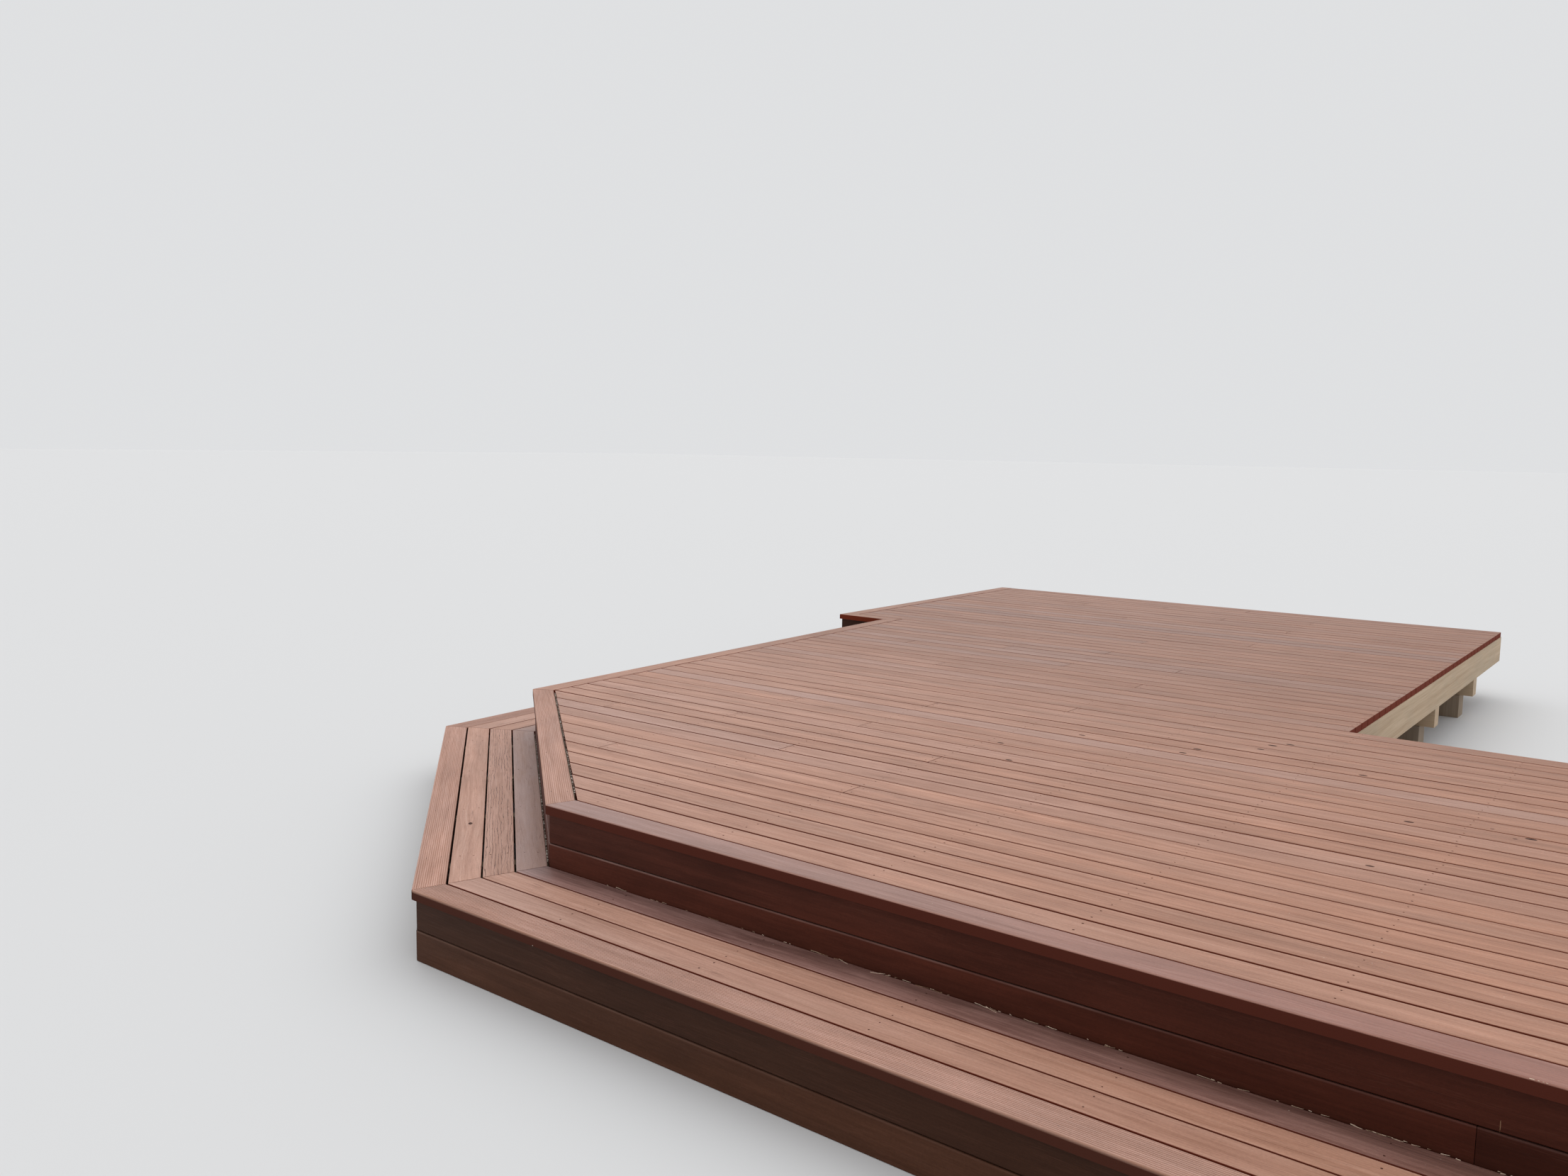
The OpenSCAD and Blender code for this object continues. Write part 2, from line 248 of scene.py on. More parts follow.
def three_tones(graph, tone, colours, reach):
    """Dark, middle and pale stain, all within reach of the tone's middle."""
    ramp = add(graph, "ShaderNodeValToRGB", {"Fac": tone})
    ramp.color_ramp.elements[0].position = 0.5 - reach
    ramp.color_ramp.elements[1].position = 0.5 + reach
    ramp.color_ramp.elements[0].color = (*colours[0], 1)
    ramp.color_ramp.elements[1].color = (*colours[2], 1)
    ramp.color_ramp.elements.new(0.5).color = (*colours[1], 1)
    return ramp.outputs["Color"]


def tints(graph, light, seed, spot, rightness, right_end_shading):
    """Red, green and blue factors: boards lean to orange or purple in long soft patches, and a
    painted shade makes the right end darker and more orange.
    """
    own_lean = times(graph, maths(graph, "FRACT", times(graph, seed, 17.3)), 0.55)
    lean = plus(graph, own_lean, spread(graph, noise(graph, spot, (1.3, 7, 7)),
                                        0.35, 0.65, -0.05, 0.5))
    # painted shade: darker and more orange towards the right end
    factors = [times(graph, light, spread(graph, rightness, 0, 1, 1.03, 0.94))]
    for purple, orange, left, right_end in ((0.97, 1.03, 1.03, 0.85),
                                            (0.945, 1.055, 1.02, 0.76)):
        leaning = times(graph, light, spread(graph, lean, 0, 1, purple, orange))
        factors.append(times(graph, leaning, spread(graph, rightness, 0, 1, left, right_end)))
    # a further painted light or shade towards the right end, set for each finish
    if right_end_shading:
        start, *ends = right_end_shading
        factors = [times(graph, factor, spread(graph, rightness, start, 1.0, 1.0, end))
                   for factor, end in zip(factors, ends)]
    return vector(graph, *factors)


def open_grain(graph, bent, spot):
    """Short dark dashes, in patches."""
    return times(graph, spread(graph, noise(graph, bent, (13, 520, 520), 2), 0.57, 0.66),
                 spread(graph, noise(graph, spot, (3, 22, 22), 2), 0.45, 0.6))


def cracks(graph, spot, cracked):
    """Thin lines along the board, every 9 mm or so, wandering and broken off in places."""
    wander = times(graph, noise(graph, spot, (5.5, 24, 24), 4, 0.6), 0.024)
    cycle = maths(graph, "FRACT", times(graph, plus(graph, split(graph, spot)["Y"], wander),
                                        CRACKS_PER_METRE))
    off_line = maths(graph, "ABSOLUTE", minus(graph, cycle, 0.5))
    unbroken = spread(graph, noise(graph, spot, (3.8, 80, 80)), 0.42, 0.50)
    return times(graph, times(graph, spread(graph, off_line, 0.085, 0.03), unbroken), cracked)


def crumbs(graph, spot):
    """A few pale crumbs and worn spots, a millimetre or two wide."""
    cells = add(graph, "ShaderNodeTexVoronoi", {"Vector": spot, "Scale": 60.0,
                "Randomness": 1.0}, feature="F1")
    rare = add(graph, "ShaderNodeSeparateColor", {"Color": cells.outputs["Color"]}).outputs[0]
    return times(graph, spread(graph, cells.outputs["Distance"], 0.10, 0.05),
                 spread(graph, rare, 0.972, 0.974))


def dust_and_highlight(graph, depth, rightness, spot):
    """Dust and a painted highlight along the upper edge of a board on edge, less of both
    towards the right.
    """
    patches = spread(graph, noise(graph, spot, (5, 40, 40)), 0.35, 0.6, 0.3, 1.0)
    fading = spread(graph, rightness, 0.1, 0.9, 0.9, 0.15)
    return times(graph, spread(graph, depth, 0.0044, 0.0020), times(graph, fading, patches))


print("recipes for what shows on a board ready")

# %% [markdown]
# ### Stained board
# Each board carries its own numbers: how dark and how grey it is, how cracked, and where a
# point lies along it, across it and below its face. Its grey is weathered stain and partly a
# painted sky sheen. The colour is painted darker and more orange towards the right end of
# the deck, a painted shade, and painted darker towards the back, a painted shade too. Below
# the face it is darker, down in the slots, grooves and screw holes: partly unworn stain,
# partly painted shade. The edges that feet meet first are pale, partly rubbed and partly a
# painted highlight: pale on the front edge, an orange tan on the reeded boards.

# %% stained board
# the colour deep in slots and grooves: unworn stain, and a painted shade
SLOT_RED_AND_SHADE = (0.16, 0.026, 0.010)
# weathered grey, partly a painted sky sheen
WORN_GREY_AND_SHEEN = (0.33, 0.238, 0.228)
GRAIN_DARK = (0.13, 0.050, 0.034)
CRACK_DARK = (0.080, 0.034, 0.025)
CRUMB_PALE = (0.62, 0.50, 0.42)


def stained_board(name, colours, side=SLOT_RED_AND_SHADE, dark_from=0.0004, fade=0.0011, relief=0.4,
                  roughness=0.56, gloss=0.16, dashes=0.5, reach=0.19, specks=0.75,
                  patchy=0.15, right_end_shading=None, rubbed_and_lit_arris=None, dust_and_highlight_edge=None, grey_and_sheen=WORN_GREY_AND_SHEEN):
    material, graph, shader = start_material(name)
    place = add(graph, "ShaderNodeAttribute", attribute_name="place").outputs["Vector"]
    depth = split(graph, place)["Z"]
    where = split(graph, object_place(graph))
    rightness = spread(graph, where["X"], -0.6, 1.9)
    own = add(graph, "ShaderNodeAttribute", attribute_name="board").outputs
    parts = add(graph, "ShaderNodeSeparateColor", {"Color": own["Color"]}).outputs
    shade, grey, seed = parts[0], parts[1], parts[2]
    # every board has its own stretch of the noise, so no two are alike
    spot = moved(graph, place, vector(graph, times(graph, seed, 61.0), times(graph, seed, 7.0)))
    # growth rings: wavering lines along the board
    waver = noise(graph, spot, (1.7, 9, 9), 2)
    bent = moved(graph, spot, vector(graph, y=times(graph, waver, 0.05)))
    rings = noise(graph, bent, (1.3, 75, 75), 4, 0.6)
    streaks = noise(graph, bent, (6, 260, 260), 5, 0.7)
    blotch = noise(graph, spot, (2.3, 14, 14), 4, 0.6)
    mottle = noise(graph, spot, (150, 210, 210), 5, 0.75)
    # the stain's tone, gone grey in places: weathered grey, partly a painted sky sheen
    tone = plus(graph, times(graph, rings, 0.5), times(graph, streaks, 0.5))
    grey_and_sheen_share = times(graph, grey, spread(graph, blotch, 0.35, 0.6, 0.55, 1.25), True)
    colour = blend_colour(graph, grey_and_sheen_share, three_tones(graph, tone, colours, reach), grey_and_sheen)
    # the board's own shade, cloudy and mottled, with a painted shade that darkens it towards
    # the back
    cloud = times(graph, spread(graph, blotch, 0.3, 0.7, 1 - patchy, 1 + patchy),
                  spread(graph, mottle, 0.25, 0.75, 0.86, 1.14))
    light = times(graph, times(graph, cloud, times(graph, shade, 2.0)),
                  spread(graph, where["Y"], -1.3, 0.5, 1.0, 0.77))
    # the tints carry the painted shade towards the right end
    colour = blend_colour(graph, 1.0, colour, tints(graph, light, seed, spot, rightness, right_end_shading),
                          "MULTIPLY")
    dash = open_grain(graph, bent, spot)
    colour = blend_colour(graph, times(graph, dash, dashes), colour, GRAIN_DARK)
    crack = cracks(graph, spot, own["Alpha"])
    colour = blend_colour(graph, crack, colour, CRACK_DARK)
    # a pale edge, partly rubbed and partly a painted highlight; below it the colour darkens,
    # unworn stain and painted shade
    if rubbed_and_lit_arris:
        rubbed_and_lit = times(graph, spread(graph, depth, 0.0003, 0.0014), spread(
            graph, noise(graph, spot, (9, 90, 90)), 0.35, 0.6, 0.2, 0.75))
        colour = blend_colour(graph, rubbed_and_lit, colour, rubbed_and_lit_arris)
    # darker with depth below the face: unworn stain and painted shade in slots, grooves and
    # holes
    unworn_and_shaded = spread(graph, depth, dark_from, dark_from + fade)
    colour = blend_colour(graph, unworn_and_shaded, colour, side)
    # dust and a painted highlight along the upper edge
    if dust_and_highlight_edge:
        colour = blend_colour(graph, dust_and_highlight(graph, depth, rightness, spot), colour, dust_and_highlight_edge)
    colour = blend_colour(graph, times(graph, crumbs(graph, spot), specks), colour, CRUMB_PALE)
    graph.links.new(colour, shader.inputs["Base Color"])
    # worn faces have a weak sheen, and the unworn sides are dull
    face = minus(graph, spread(graph, streaks, 0.3, 0.7, roughness + 0.08, roughness - 0.06),
                 times(graph, grey, 0.16))
    graph.links.new(maths(graph, "MAXIMUM", face, times(graph, unworn_and_shaded, 0.9)),
                    shader.inputs["Roughness"])
    shader.inputs["Specular IOR Level"].default_value = gloss
    raised = plus(graph, times(graph, streaks, 0.5), times(graph, mottle, 0.35))
    sunk = plus(graph, times(graph, dash, 0.25), crack)
    bumpy(graph, shader, minus(graph, raised, sunk), relief, 0.0012)
    return material


print("stained board ready")

# %% [markdown]
# The same recipe gives every stained finish. Walked boards have the palest tones, and the
# front edge is smoother and more purple, its purple partly a painted sky sheen. The inner
# tread is dark and cloudy, because rain and feet reach it less. Risers and skirts stay almost
# black-brown, because nobody walks on them, and have dust and a painted highlight along their
# upper edges. Knot wood is nearly black. A finish for boards on edge has no darker depth of
# unworn stain and painted shade, so its dark part starts far below any board.

# %% stained finishes
DECK_TONES = ((0.315, 0.158, 0.108), (0.435, 0.240, 0.176), (0.52, 0.315, 0.245))
REEDED_TONES = ((0.36, 0.200, 0.150), (0.455, 0.268, 0.212), (0.53, 0.335, 0.278))
# the nosing's purple tones are partly a painted sky sheen, put in the colour in place of gloss
NOSING_TONES_AND_SHEEN = ((0.245, 0.125, 0.100), (0.335, 0.195, 0.166), (0.42, 0.265, 0.240))
SHELTERED_TONES = ((0.088, 0.034, 0.027), (0.165, 0.074, 0.060), (0.30, 0.170, 0.150))
RISER_TONES = ((0.048, 0.0125, 0.0075), (0.070, 0.019, 0.0115), (0.094, 0.028, 0.018))
SKIRT_TONES = ((0.040, 0.0155, 0.0080), (0.053, 0.021, 0.0115), (0.072, 0.031, 0.0185))
KNOT_TONES = ((0.030, 0.009, 0.004), (0.055, 0.017, 0.008), (0.11, 0.042, 0.024))
NEVER_DARK = 9.0

decking = stained_board("stained_decking", DECK_TONES)
slant_decking = stained_board("slant_decking", DECK_TONES, side=(0.10, 0.035, 0.026),
                              dark_from=0.0010, fade=0.010)
# right_end_shading: painted light and shade towards the right end; reeded boards lighter,
# nosing more orange, risers darker
reeded = stained_board("reeded_stain", REEDED_TONES, side=(0.062, 0.0170, 0.0095),
                       dark_from=0.0022, fade=0.0065, dashes=0.25,
                       right_end_shading=(0.1, 1.2, 1.3, 1.4), rubbed_and_lit_arris=(0.37, 0.180, 0.112))
nosing_stain = stained_board("worn_nosing", NOSING_TONES_AND_SHEEN, side=(0.078, 0.0155, 0.0075),
                             dark_from=0.0014, fade=0.0018, relief=0.3, roughness=0.46,
                             gloss=0.25, dashes=0.3, reach=0.22,
                             right_end_shading=(0.45, 1.0, 0.86, 0.84), rubbed_and_lit_arris=(0.48, 0.255, 0.195))
sheltered_stain = stained_board("sheltered_stain", SHELTERED_TONES, roughness=0.42, gloss=0.3,
                                dashes=0.3, reach=0.17, patchy=0.32)
riser_stain = stained_board("riser_stain", RISER_TONES, dark_from=NEVER_DARK, relief=0.2,
                            roughness=0.5, gloss=0.14, dashes=0.2, reach=0.3, specks=0.0,
                            patchy=0.24, right_end_shading=(0.45, 0.78, 0.77, 0.78),
                            dust_and_highlight_edge=(0.24, 0.14, 0.12))
skirt_stain = stained_board("skirt_stain", SKIRT_TONES, dark_from=NEVER_DARK, relief=0.2,
                            roughness=0.52, gloss=0.10, dashes=0.2, reach=0.3, specks=0.0,
                            patchy=0.18, dust_and_highlight_edge=(0.13, 0.070, 0.050))
knot_wood = stained_board("knot_wood", KNOT_TONES, gloss=0.08, specks=0.0,
                          grey_and_sheen=(0.07, 0.030, 0.020))
print("finishes", [m.name for m in bpy.data.materials])

# %% [markdown]
# ### Screw heads and framing
# Screw heads are dull zinc, browned by dirt, and each sits in a small dark hole. Framing is
# bare treated pine, and its grain runs with the length of each timber, so there is one
# finish for each direction.

# %% metal and bare timber
DIRTY_SHARE = 0.45


def dull_metal(name, colour):
    material, graph, shader = start_material(name)
    spots = noise(graph, object_place(graph), (900, 900, 900), 2)
    tone = blend_colour(graph, spread(graph, spots, 0.35, 0.65), colour,
                        tuple(v * DIRTY_SHARE for v in colour))
    graph.links.new(tone, shader.inputs["Base Color"])
    graph.links.new(spread(graph, spots, 0.3, 0.7, 0.4, 0.65), shader.inputs["Roughness"])
    shader.inputs["Metallic"].default_value = 0.4
    return material


def timber(name, turn, colours, sheen, relief):
    material, graph, shader = start_material(name)
    laid = add(graph, "ShaderNodeMapping", {"Vector": object_place(graph),
                                            "Rotation": turn}).outputs[0]
    waver = noise(graph, laid, (1.3, 7, 7), 2)
    bent = moved(graph, laid, vector(graph, y=times(graph, waver, 0.04),
                                     z=times(graph, waver, 0.03)))
    rings = noise(graph, bent, (0.9, 48, 48), 4, 0.6)
    streaks = noise(graph, laid, (5, 230, 230), 4, 0.6)
    blotch = noise(graph, laid, (2.2, 6, 6), 3, 0.6)
    tone = plus(graph, times(graph, rings, 0.55), times(graph, streaks, 0.45))
    colour = blend_colour(graph, spread(graph, tone, 0.36, 0.64), colours[0], colours[1])
    colour = blend_colour(graph, spread(graph, blotch, 0.42, 0.72, 0.0, 0.55), colour,
                          colours[2])
    graph.links.new(colour, shader.inputs["Base Color"])
    graph.links.new(spread(graph, tone, 0.3, 0.7, sheen + 0.1, sheen - 0.08),
                    shader.inputs["Roughness"])
    bumpy(graph, shader, streaks, relief, 0.001)
    return material


screw_head = dull_metal("screw_head", (0.105, 0.048, 0.036))
print("metal ready", screw_head.name)

# %% [markdown]
# ## Boards
# In the CAD model a board is a plain length of its real section. A real board has eased
# long edges, is a hair narrower or wider than its neighbour, and is sunk by a fraction of a
# millimetre. The CAD boards are copied, merged and taken one at a time, so that every
# operator works on a small mesh. What lies within a small reach counts as on a side or face.

# %% take a node apart into boards
SIDE_REACH = 0.0004
FACE_REACH = 0.0002


class Board:
    """One board as its own mesh, with its direction, its outer edge and its size."""

    def __init__(self, bm):
        self.bm = bm
        longest = max((e for e in bm.edges if abs(e.verts[0].co.z - e.verts[1].co.z) < 1e-5),
                      key=lambda e: e.calc_length())
        d = (longest.verts[1].co - longest.verts[0].co).normalized()
        self.along = -d if d.x < -1e-4 or (abs(d.x) <= 1e-4 and d.y > 0) else d
        self.across = Vector((-self.along.y, self.along.x, 0))
        self.top = max(v.co.z for v in bm.verts)
        self.middle = sum((v.co for v in bm.verts), Vector()) / len(bm.verts)
        self.measure()

    def measure(self):
        """Finds where the board starts and ends, along it and across it."""
        s = [v.co.dot(self.along) for v in self.bm.verts]
        t = [v.co.dot(self.across) for v in self.bm.verts]
        self.s0, self.s1, self.t0, self.t1 = min(s), max(s), min(t), max(t)

    def top_faces(self):
        return [f for f in self.bm.faces if f.normal.z > 0.99
                and abs(f.calc_center_median().z - self.top) < FACE_REACH]

    def runs_along(self, edge):
        direction = (edge.verts[1].co - edge.verts[0].co).normalized()
        return abs(direction.dot(self.along)) > 0.9995

    def cut(self, faces, point, normal):
        """Cuts only the given faces with a plane."""
        parts = set(faces)
        for f in faces:
            parts.update(f.edges)
            parts.update(f.verts)
        bmesh.ops.bisect_plane(self.bm, geom=list(parts), dist=1e-6, plane_co=point,
                               plane_no=normal)

    def round_off(self, edges, radius):
        """Eases the given edges with a bevel of two segments."""
        bmesh.ops.bevel(self.bm, geom=edges, offset=radius, offset_type="OFFSET", segments=2,
                        profile=0.5, affect="EDGES", material=-1, clamp_overlap=True)
        self.bm.normal_update()


def boards_of(node_name):
    """Copies a CAD node and parts it into its boards, by walking along the edges."""
    whole = bmesh.new()
    whole.from_mesh(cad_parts[node_name].data)
    bmesh.ops.remove_doubles(whole, verts=whole.verts, dist=2e-5)
    bmesh.ops.dissolve_limit(whole, angle_limit=math.radians(1), verts=whole.verts,
                             edges=whole.edges)
    whole.verts.ensure_lookup_table()
    left, found = set(range(len(whole.verts))), []
    while left:
        reached, ring = set(), {min(left)}
        while ring:
            reached |= ring
            ring = {e.other_vert(whole.verts[i]).index for i in ring
                    for e in whole.verts[i].link_edges} - reached
        left -= reached
        single = whole.copy()
        single.verts.ensure_lookup_table()
        bmesh.ops.delete(single, geom=[v for v in single.verts if v.index not in reached],
                         context="VERTS")
        found.append(Board(single))
    whole.free()
    found.sort(key=lambda b: (round(b.middle.y, 3), round(b.middle.x, 3)))
    return found


print("front rows", len(boards_of("deck_boards_front")), "boards")

# %% [markdown]
# Easing an edge is a bevel with two segments. Before it, the long sides are moved by a
# millimetre or so, so that slots differ, as they do on the real deck. Slots of the front
# rows have the widths that show there, and elsewhere chance picks how far a side moves.

# %% ease the long edges
SLOTS = [mm / 1000 for mm in (4.8, 6.8, 8.0, 6.5, 6.0, 6.7, 5.0, 5.3, 5.4, 6.6, 7.2, 7.9,
                              7.6, 7.2, 6.2, 5.6, 5.0, 6.1, 5.8)]
CAD_SLOT = 0.005
MOVES = (0.0, 0.0003, 0.0007, 0.0011, 0.0016)
SINK_SHARE = 0.25


def side_moves(row):
    """How far the near and the far side of a front row move, from the slots beside it."""
    return [0.0 if slot < 0 else (SLOTS[slot] - CAD_SLOT) / 2 for slot in (row, row + 1)]


def ease(board, chance, radius=0.0017, row=None, moves=MOVES):
    near, far, drop = (chance.choice(moves) for _ in range(3))
    drop *= SINK_SHARE
    if row is not None and row < len(SLOTS) - 1:
        near, far = side_moves(row)
    for v in board.bm.verts:
        t = v.co.dot(board.across)
        if t - board.t0 < SIDE_REACH:
            v.co += board.across * near
        elif board.t1 - t < SIDE_REACH:
            v.co -= board.across * far
        if v.co.z > board.top - 0.001:
            v.co.z -= drop
    board.top -= drop
    board.round_off([e for e in board.bm.edges if board.runs_along(e)
                     and min(v.co.z for v in e.verts) > board.top - 1e-4], radius)


print("slots from", min(SLOTS), "to", max(SLOTS))

# %% [markdown]
# The outer boards of the step and of the slant are reeded: fourteen fine grooves run along
# them for grip. Each groove is four cuts along the top face, and the strip between the
# inner two is lowered. Cutting only the top face keeps the board closed.

# %% reeds
REEDS, REED_PITCH = 14, 0.0058
GROOVE_OPENING, GROOVE_FLOOR, GROOVE_DEPTH = 0.0025, 0.0013, 0.0012


def reed(board):
    start = (board.t0 + board.t1) / 2 - REED_PITCH * (REEDS - 1) / 2
    for k in range(REEDS):
        middle = start + k * REED_PITCH
        for offset in (-GROOVE_OPENING / 2, -GROOVE_FLOOR / 2, GROOVE_FLOOR / 2,
                       GROOVE_OPENING / 2):
            board.cut(board.top_faces(), board.across * (middle + offset), board.across)
    for v in board.bm.verts:
        t = v.co.dot(board.across) - start
        k = round(t / REED_PITCH)
        if (0 <= k < REEDS and abs(t - k * REED_PITCH) < GROOVE_FLOOR / 2 + 1e-4
                and abs(v.co.z - board.top) < FACE_REACH):
            v.co.z -= GROOVE_DEPTH
    board.bm.normal_update()


print("reeds", REEDS, "grooves, the outer two", round(REED_PITCH * (REEDS - 1), 4), "m apart")

# %% [markdown]
# A screw is driven until its head lies just under the face. For each one the top face is
# cut down to a small square, its edges are halved, the eight points are moved onto an oval
# and the face is pushed down. Its bottom becomes the metal head. A knot is let in the same
# way, longer than wide and hardly sunk, with knot wood on its face. Where other cuts leave
# too little or too much of the square, the hole is left out, so that the face stays clean.

# %% let screws and knots into a face
# half length, half width and depth of the hole, and the number of its bottom's material
SCREW, KNOT = (0.0025, 0.0025, 0.0013, 1), (0.0105, 0.0055, 0.0003, 2)
LEAST_AREA, MOST_AREA = 3.4, 5
OVAL_SHARE = 1.12


def face_under(board, point):
    for f in board.top_faces():
        if bmesh.geometry.intersect_face_point(f, point):
            return f
    return None


def let_in(board, s, t, kind=SCREW, size=1.0):
    half_long, half_wide, deep, material_number = kind
    half_long, half_wide = half_long * size, half_wide * size
    point = board.along * s + board.across * t + Vector((0, 0, board.top))
    for direction, place in ((board.along, s - half_long), (board.along, s + half_long),
                             (board.across, t - half_wide), (board.across, t + half_wide)):
        face = face_under(board, point)
        if face is None:
            return
        board.cut([face], direction * place, direction)
        board.bm.normal_update()
    face = face_under(board, point)
    if face is None or not LEAST_AREA < face.calc_area() / (half_long * half_wide) < MOST_AREA:
        return
    bmesh.ops.subdivide_edges(board.bm, edges=list(face.edges), cuts=1)
    face = face_under(board, point)
    for v in face.verts:
        out = v.co - point
        turn = math.atan2(out.dot(board.across) / half_wide, out.dot(board.along) / half_long)
        v.co = (point + board.along * math.cos(turn) * half_long * OVAL_SHARE
                + board.across * math.sin(turn) * half_wide * OVAL_SHARE)
    sunk = bmesh.ops.extrude_discrete_faces(board.bm, faces=[face])["faces"][0]
    bmesh.ops.translate(board.bm, verts=sunk.verts, vec=(0, 0, -deep))
    sunk.material_index = material_number
    board.bm.normal_update()


print("screw", SCREW, "knot", KNOT)

# %% [markdown]
# Screws stand in pairs across a board. The two of a pair are in line or well apart along
# the board, because cuts a hair apart would leave slivers of face between them.

# %% pairs of screws
PAIR_SHARES = (0.24, 0.76)
STAGGER = 0.0068


def let_in_pairs(board, places, chance):
    width = board.t1 - board.t0
    for s in places:
        s, size = s + chance.uniform(-0.004, 0.004), chance.uniform(0.75, 1.1)
        for share in PAIR_SHARES:
            t = board.t0 + width * share + chance.uniform(-0.005, 0.005)
            let_in(board, s, t, SCREW, size)
            s += chance.choice((0, 0, -STAGGER, STAGGER))


print("pairs at", PAIR_SHARES, "of the width")

# %% [markdown]
# A finished piece gathers its boards into one mesh. Every vertex gets two attributes: its
# place on its own board, and that board's numbers for shade, grey, grain and cracks. Shade
# may differ from the outer to the inner edge: on the treads the inner edge is a painted shade
# under the riser. The piece replaces the CAD node that it was cut from, which stays behind,
# hidden.

# %% gather boards into a piece
LAST_MATERIAL = 3


def add_board(bm, board, look, place, own):
    """Adds one board to the piece and writes its two attributes."""
    dark, grey, seed, cracked = look
    # a pair of shades runs to the inner edge; on the treads the inner one is a painted shade
    outer, inner_tone_and_shade = dark if isinstance(dark, tuple) else (dark, dark)
    single = bpy.data.meshes.new("board")
    board.bm.to_mesh(single)
    first = len(bm.verts)
    bm.from_mesh(single)
    bm.verts.ensure_lookup_table()
    for v in bm.verts[first:]:
        t = v.co.dot(board.across) - board.t0
        v[place] = (v.co.dot(board.along) - board.s0, t, board.top - v.co.z)
        share = t / (board.t1 - board.t0)
        v[own] = (0.5 * (outer + (inner_tone_and_shade - outer) * share), grey, seed, cracked)
    bpy.data.meshes.remove(single)
    board.bm.free()


def piece_from(node_name, finish, boards, looks, last_finish=None):
    bm = bmesh.new()
    place = bm.verts.layers.float_vector.new("place")
    own = bm.verts.layers.float_color.new("board")
    if last_finish:
        for f in boards[-1].bm.faces:
            f.material_index = f.material_index or LAST_MATERIAL
    for board, look in zip(boards, looks):
        add_board(bm, board, look, place, own)
    mesh = bpy.data.meshes.new(node_name + "_worn")
    bm.to_mesh(mesh)
    bm.free()
    for material in (finish, screw_head, knot_wood, last_finish):
        if material:
            mesh.materials.append(material)
    piece = bpy.data.objects.new(node_name + "_worn", mesh)
    bpy.context.collection.objects.link(piece)
    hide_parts(node_name)
    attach(piece, "root")
    print(piece.name, len(mesh.polygons), "faces")


def chosen_looks(chance, count, spread_dark=0.05, greys=0.3, dark=1.0):
    """Shade, grey, grain and cracks for each of a number of boards, picked by chance."""
    return [(dark * (1 + chance.uniform(-spread_dark, spread_dark)),
             max(0.0, chance.uniform(-0.7, greys)), chance.random(), 0.0)
            for _ in range(count)]


print("looks like", chosen_looks(random.Random(0), 1))

# %% [markdown]
# ### The deck's field
# The long rows are screwed to every joist with two screws, and beside every cut end. Board
# shade varies from row to row, and a few rows are greyer where the stain has gone. Knots
# are few and small. Their places are in metres from the front corner, each with its size.

# %% rows of deck boards
JOISTS = (-0.845, -0.375, 0.095, 0.565, 1.035, 1.555, 2.075)
KNOTS = ((0.617, 1.531, 1.1), (0.753, 1.332, 1.1), (0.782, 1.834, 1.1), (1.706, 1.911, 1.2),
         (1.933, 1.451, 1.2), (1.941, 0.975, 1.0), (2.223, 1.504, 1.3), (2.126, 1.532, 0.5),
         (2.189, 1.471, 0.55), (1.156, 1.818, 1.2), (1.175, 1.891, 1.3), (1.358, 2.136, 1.4),
         (1.344, 2.048, 1.1), (1.402, 2.191, 1.3))
FIRST_ROW, ROW_PITCH = front_high.y + CAD_SLOT, 0.095
KNOT_INSET = 0.012
FROM_END, CLEAR_OF_END = 0.016, 0.05


def row_piece(node_name, seed):
    chance = random.Random(seed)
    boards = boards_of(node_name)
    for board in boards:
        ease(board, chance, row=round((board.t0 - FIRST_ROW) / ROW_PITCH))
        lines = [CORNER.x + x for x in JOISTS
                 if board.s0 + CLEAR_OF_END < CORNER.x + x < board.s1 - CLEAR_OF_END]
        let_in_pairs(board, lines + [board.s0 + FROM_END, board.s1 - FROM_END], chance)
        for x, y, size in KNOTS:
            s, t = CORNER.x + x, CORNER.y + y
            if board.s0 < s < board.s1 and board.t0 - 0.003 < t < board.t1 + 0.003:
                t = min(max(t, board.t0 + KNOT_INSET), board.t1 - KNOT_INSET)
                let_in(board, s, t, KNOT, size)
    piece_from(node_name, decking, boards, chosen_looks(chance, len(boards)))


for number, name in enumerate(("deck_boards_front", "deck_boards_middle",
                               "deck_boards_wing", "deck_boards_house")):
    row_piece(name, 40 + number)

# %% [markdown]
# ### Frame boards
# A smooth board closes the front and the sides, mitred at the corners. On the slant the
# frame board is reeded like the step's outer boards. The front board lies before the first
# row, so only its far side is moved for the slot between them.

# %% boards round the edge
SMOOTH = ("deck_nosing_front", "deck_border_side", "deck_border_jog", "deck_border_garden")
REEDED = ("deck_border_slant", "step_nosing_front", "step_nosing_slant", "step_nosing_side")
WELL_EASED = 0.003
BEFORE_FIRST_ROW = -1

for number, name in enumerate(SMOOTH + REEDED):
    chance = random.Random(60 + number)
    boards = boards_of(name)
    front, grooved = name == "deck_nosing_front", name in REEDED
    for board in boards:
        ease(board, chance, WELL_EASED, BEFORE_FIRST_ROW if front else None)
        if grooved:
            reed(board)
    finish = reeded if grooved else nosing_stain if front else decking
    # the slanted runs are painted lighter, a painted light against the shade in their grooves
    dark = 1.07 if name.endswith("slant") else 0.99
    piece_from(name, finish, boards, chosen_looks(chance, len(boards), 0.03, 0.05, dark))

# %% [markdown]
# ### Treads
# Behind each reeded board lie three smooth boards. They are screwed to the cross pieces
# below. The one against the riser is greyer or darker, because rain and feet reach it less,
# and is painted darker still towards the riser, a painted shade. One board of the slanted
# run has cracked all along its grain.

